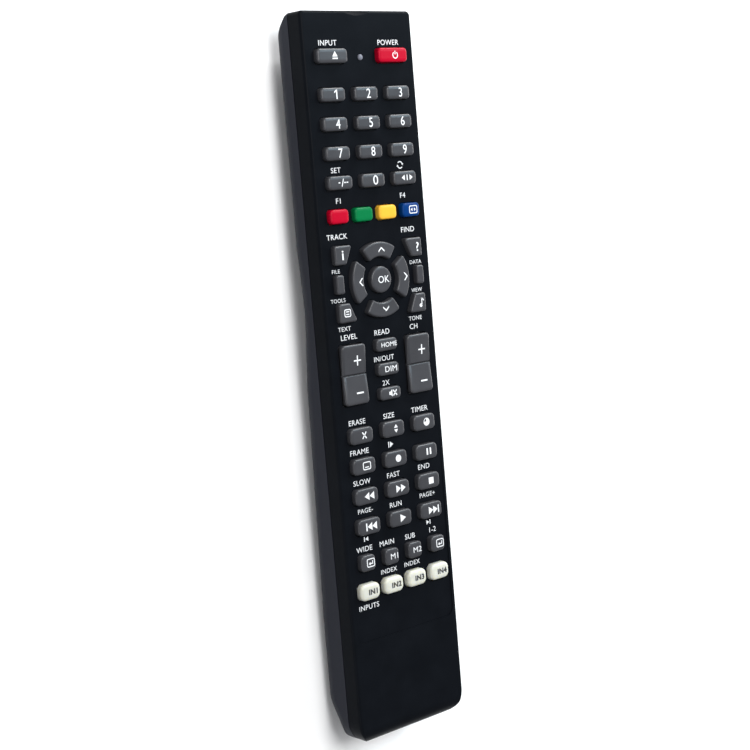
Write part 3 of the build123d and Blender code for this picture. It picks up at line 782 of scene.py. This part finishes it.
for number, (node, text, end, step, height) in enumerate(captions):
    x, y = printed_edge(node, end)
    name = f"caption_{number:02d}"
    mesh = letters_mesh(name, text, height, 0, caption_stretch)
    caption(name, mesh, x + nudges.get(text, 0), y + end * step)
for node, end, step, loops in small_marks:
    x, y = printed_edge(node, end)
    caption(node + "_caption", loops_mesh(node, loops), x, y + end * step)


# What the circuit board carries


def islands(node):
    """The separate solids of a node, as points and faces in mm, from the tail up and from left to right."""
    shape = bmesh.new()
    shape.from_mesh(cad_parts[node].data)
    bmesh.ops.remove_doubles(shape, verts=shape.verts, dist=solid_weld * mm)
    shape.verts.ensure_lookup_table()
    seen, found = set(), []
    for start in shape.verts:
        if start.index in seen:
            continue
        group, edge = [], [start]
        seen.add(start.index)
        while edge:
            vertex = edge.pop()
            group.append(vertex)
            for link in vertex.link_edges:
                other = link.other_vert(vertex)
                if other.index not in seen:
                    seen.add(other.index)
                    edge.append(other)
        order = {vertex.index: place for place, vertex in enumerate(group)}
        faces = {tuple(order[v.index] for v in face.verts) for vertex in group for face in vertex.link_faces}
        points = [tuple(vertex.co / mm) for vertex in group]
        found.append((points, sorted(faces)))
    shape.free()

    def place(solid):
        xs, ys = [point[0] for point in solid[0]], [point[1] for point in solid[0]]
        return round((max(ys) + min(ys)) / 2), max(xs) + min(xs)

    return sorted(found, key=place)


def extremes(points):
    return [min(values) for values in zip(*points)], [max(values) for values in zip(*points)]


def board_piece(name, points, faces, material, slot=None):
    piece = mesh_object(name, points, faces, material)
    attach(piece, "case")
    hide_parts("circuit_board")


def turned(profile, middle):
    """Loops of a body turned about a line along Y: the profile has places along Y with their radii."""
    x, y, z = middle
    angles = [2 * pi * step / turned_steps for step in range(turned_steps)]
    return [
        [(x + radius * sin(angle), y + along, z + radius * cos(angle)) for angle in angles]
        for along, radius in profile
    ]


def block(low, high):
    foot = [(low[0], low[1]), (high[0], low[1]), (high[0], high[1]), (low[0], high[1])]
    return stacked([[(x, y, z) for x, y in foot] for z in (low[2], high[2])])


def dome(reach, radius):
    """A half ellipsoid's profile along Y, from its foot to near its tip."""
    angles = [pi / 2 * step / dome_steps for step in range(dome_steps + 1)]
    return [(reach * sin(angle), radius * max(cos(angle), tip_radius)) for angle in angles]


def spring(name, x, foot, z, direction):
    """A conical coil of wire, wide at the plate and narrow at the cell."""
    curve = bpy.data.curves.new(name, "CURVE")
    curve.dimensions = "3D"
    curve.bevel_depth = wire_radius * mm
    curve.bevel_resolution = 3
    curve.use_fill_caps = True
    steps = spring_turn_steps * spring_turns
    spline = curve.splines.new("POLY")
    spline.points.add(steps)
    for step, point in enumerate(spline.points):
        share = step / steps
        angle = 2 * pi * spring_turns * share
        radius = spring_radius - wire_radius + (spring_tip_radius - spring_radius) * share
        along = wire_radius + (spring_length - 2 * wire_radius) * share
        across, up = x + radius * cos(angle), z + radius * sin(angle)
        point.co = (across * mm, (foot + direction * along) * mm, up * mm, 1)
    mesh = curve_mesh(curve)
    mesh.materials.clear()
    mesh.materials.append(steel)
    mesh.shade_smooth()
    piece = placed(name, mesh)
    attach(piece, "case")
    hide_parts("circuit_board")


# The board's solids, in the order in which islands gives them
carried = (
    "tail_contact", "head_contact_bump", "head_contact_spring", "capacitor", "board",
    "resonator", "chip", "indicator", "emitter",
)
solids = dict(zip(carried, islands("circuit_board")))
board_piece("board", *solids["board"], finishes["board_green"], "board_green")
board_piece("chip", *solids["chip"], chip_black)
board_piece("resonator", *solids["resonator"], resonator_blue)
board_piece("capacitor", *solids["capacitor"], chip_black)

low, high = extremes(solids["emitter"][0])
emitter_radius = (high[0] - low[0]) / 2
emitter_middle = ((low[0] + high[0]) / 2, low[1], (low[2] + high[2]) / 2)
barrel = high[1] - low[1] - emitter_radius
emitter_dome = [(barrel + along, radius) for along, radius in dome(emitter_radius, emitter_radius)]
emitter_loops = turned([(0, emitter_radius)] + emitter_dome, emitter_middle)
board_piece("emitter", *stacked(emitter_loops), smoke_lens)

low, high = extremes(solids["indicator"][0])
lamp_middle = (low[0] + high[0]) / 2, (low[1] + high[1]) / 2
lamp_foot = high[2] - indicator_dome
lamp_levels = [(indicator_radius, low[2])]
for along, radius in dome(indicator_dome, indicator_radius):
    lamp_levels.append((max(radius, tip_radius), lamp_foot + along))
lamp_loops = [[(x, y, z) for x, y in circle(radius, *lamp_middle)] for radius, z in lamp_levels]
board_piece("indicator", *stacked(lamp_loops), lamp_lens)

# The contact plates: on which side each has a bump for a cell, and on which a spring, or 0 for none
contacts = (("tail_contact", 1, -1), ("head_contact_bump", -1, 0), ("head_contact_spring", 0, 1))
for name, bump_side, spring_side in contacts:
    low, high = extremes(solids[name][0])
    direction = 1 if name == "tail_contact" else -1
    foot = low[1] if direction > 0 else high[1]
    face = foot + direction * contact_thickness
    back, front = sorted((foot, face))
    plate_top = low[2] + contact_width
    cell_height = low[2] + contact_width / 2
    board_piece(name, *block((low[0], back, low[2]), (high[0], front, plate_top)), steel)
    if high[2] > plate_top + contact_thickness:
        middle = (low[0] + high[0]) / 2
        left, right = middle - tab_half_width, middle + tab_half_width
        board_piece(name + "_tab", *block((left, back, plate_top), (right, front, high[2])), steel)
    if bump_side:
        profile = [(direction * along, radius) for along, radius in dome(bump_height, bump_radius)]
        loops = turned(profile, (bump_side * cell_pitch / 2, face, cell_height))
        if direction > 0:
            loops = [list(reversed(loop)) for loop in loops]
        board_piece(name + "_bump", *stacked(loops), steel)
    if spring_side:
        spring(name + "_coil", spring_side * cell_pitch / 2, face, cell_height, direction)

# Two cells: a steel can with its nub, in a printed jacket. Profiles start at the flat end
body_length = cell_length - nub_length
can = (
    (0, cell_radius - 1.0), (0.3, cell_radius - 0.25), (0.8, cell_radius - jacket_thickness),
    (body_length - 0.8, cell_radius - jacket_thickness), (body_length - 0.2, cell_radius - 0.5),
    (body_length, cell_radius - 1.2), (body_length, nub_radius), (cell_length - 0.3, nub_radius),
    (cell_length, nub_radius - 0.3),
)
jacket = (
    (0.35, cell_radius - 0.4), (0.45, cell_radius), (body_length - 0.45, cell_radius),
    (body_length - 0.3, cell_radius - 0.6),
)
cell_parts = (("can", can, steel, None), ("jacket", jacket, finishes["cell_jacket"], "cell_jacket"))
for number, solid in enumerate(islands("batteries")):
    low, high = extremes(solid[0])
    middle_x, middle_z = (low[0] + high[0]) / 2, (low[2] + high[2]) / 2
    side = 1 if middle_x > 0 else -1
    flat_end = high[1] if side > 0 else low[1]
    for name, profile, material, slot in cell_parts:
        loops = turned([(-side * along, radius) for along, radius in profile], (middle_x, flat_end, middle_z))
        if side < 0:
            loops = [list(reversed(loop)) for loop in loops]
        piece = mesh_object(f"cell_{number + 1}_{name}", *stacked(loops), material)
        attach(piece, "case")
        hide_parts("batteries")

# Pieces whose CAD mesh is shown as it is
for node, slot in (
    ("front_shell", "shell_black"), ("back_shell", "shell_charcoal"),
    ("battery_door", "shell_charcoal"), ("keypad_mat", "silicone_grey"),
):
    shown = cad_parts[node]
    shown.data.materials.clear()
    shown.data.materials.append(finishes[slot])

# Floor, light and camera: these places and sizes are in metres
floor_width = 12.0
floor_level = -0.05 * mm  # just under the body, so that no two faces coincide
floor_mesh = bpy.data.meshes.new("floor")
floor_corners = [(x, y, floor_level) for x, y in rectangle(floor_width, floor_width)]
floor_mesh.from_pydata(floor_corners, [], [(0, 1, 2, 3)])
floor_mesh.materials.append(surface("floor_paper", (0.93, 0.93, 0.93), 0.8, grain_depth=0.02, tint=0.005))
floor = placed("floor", floor_mesh)

world = bpy.data.worlds.new("studio")
world.use_nodes = True
background = world.node_tree.nodes["Background"]
background.inputs["Color"].default_value = (0.95, 0.97, 1.0, 1)
background.inputs["Strength"].default_value = 0.3
bpy.context.scene.world = world


def softbox(name, place, target, size, power, colour=(1, 1, 1)):
    light = bpy.data.lights.new(name, "AREA")
    light.shape = "RECTANGLE"
    light.size, light.size_y = size
    light.energy = power
    light.color = colour
    lamp = placed(name, light)
    lamp.location = place
    lamp.rotation_euler = (Vector(target) - Vector(place)).to_track_quat("-Z", "Y").to_euler()


softbox("overhead", (-0.1, 0.32, 0.8), (0, 0.08, 0), (0.45, 0.6), 7.9)
softbox("head_light", (0.6, 0.8, 0.32), (0, 0.05, 0), (0.5, 0.4), 10.5)
softbox("right_light", (1.1, 0.15, 0.3), (0, 0.05, 0), (0.8, 0.3), 5.5)
softbox("head_glow", (0.65, 0.4, 0.75), (0, 0.1, 0), (0.3, 0.3), 3.0, (0.6, 0.85, 1.0))
softbox("left_fill", (-0.75, -0.5, 0.4), (0, -0.1, 0), (0.8, 0.3), 2.2)

# The camera's place, turn and lens are those fitted to the photograph
camera_data = bpy.data.cameras.new("camera")
camera_data.lens = 75.97
camera_data.sensor_width = 36
camera_place = Vector((-0.328983, 0.063448, 0.398342))
right = Vector((0.751622, -0.082166, 0.654457))
down = Vector((-0.141504, -0.989196, 0.038321))
columns = right, -down, -right.cross(down), camera_place
camera = placed("camera", camera_data)
camera.matrix_world = Matrix([[column[row] for column in columns] for row in range(3)] + [[0, 0, 0, 1]])
bpy.context.scene.camera = camera
bpy.context.scene.view_settings.view_transform = "Standard"
